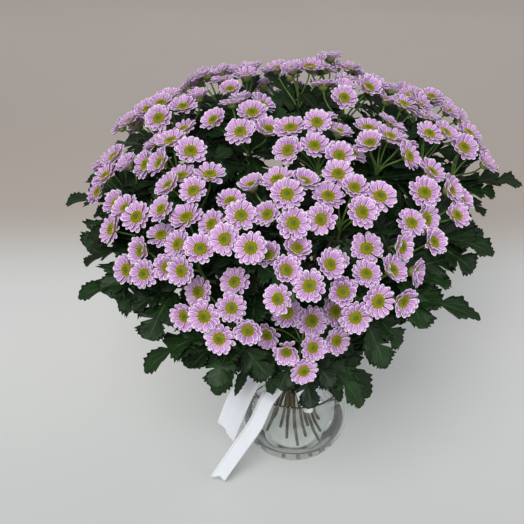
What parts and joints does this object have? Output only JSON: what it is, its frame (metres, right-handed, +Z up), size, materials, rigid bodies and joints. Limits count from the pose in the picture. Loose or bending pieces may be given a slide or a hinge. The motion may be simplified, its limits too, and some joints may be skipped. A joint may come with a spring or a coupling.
{
  "type": "hand-tied chrysanthemum bouquet in a glass bowl",
  "caption": "Domed bouquet of lilac spray chrysanthemums tied with white satin ribbon, standing in a round clear glass bowl of water.",
  "frame": {"origin": "centre of the bowl's flat foot, on the surface it stands on", "axes": "+Z up; -Y is the bouquet's front, towards which the ribbon's tails hang; +X to the right seen from the front"},
  "size_m": [0.5172, 0.4917, 0.563],
  "materials": {
    "petals": "soft matt petals",
    "stem": "matt green stem",
    "leaf": "matt leaf",
    "glass": "clear blown glass",
    "water": "clear water",
    "ribbon": "white satin"
  },
  "bodies": {
    "root": {"blooms_01": "petals", "blooms_02": "petals", "blooms_03": "petals", "blooms_04": "petals", "blooms_05": "petals", "blooms_06": "petals", "blooms_07": "petals", "blooms_08": "petals", "blooms_09": "petals", "blooms_10": "petals", "blooms_11": "petals", "blooms_12": "petals", "blooms_13": "petals", "blooms_14": "petals", "blooms_15": "petals", "blooms_16": "petals", "blooms_17": "petals", "blooms_18": "petals", "blooms_19": "petals", "blooms_20": "petals", "blooms_21": "petals", "blooms_22": "petals", "blooms_23": "petals", "blooms_24": "petals", "blooms_25": "petals", "blooms_26": "petals", "blooms_27": "petals", "blooms_28": "petals", "blooms_29": "petals", "blooms_30": "petals", "blooms_31": "petals", "glass_bowl": "glass", "leaf_01": "leaf", "leaf_02": "leaf", "leaf_03": "leaf", "leaf_04": "leaf", "leaf_05": "leaf", "leaf_06": "leaf", "leaf_07": "leaf", "ribbon_band": "ribbon", "ribbon_knot": "ribbon", "ribbon_loop": "ribbon", "ribbon_tail_front": "ribbon", "ribbon_tail_left": "ribbon", "stem_01": "stem", "stem_02": "stem", "stem_03": "stem", "stem_04": "stem", "stem_05": "stem", "stem_06": "stem", "stem_07": "stem", "stem_08": "stem", "stem_09": "stem", "stem_10": "stem", "stem_11": "stem", "stem_12": "stem", "stem_13": "stem", "stem_14": "stem", "stem_15": "stem", "water": "water"}
  },
  "joints": []
}
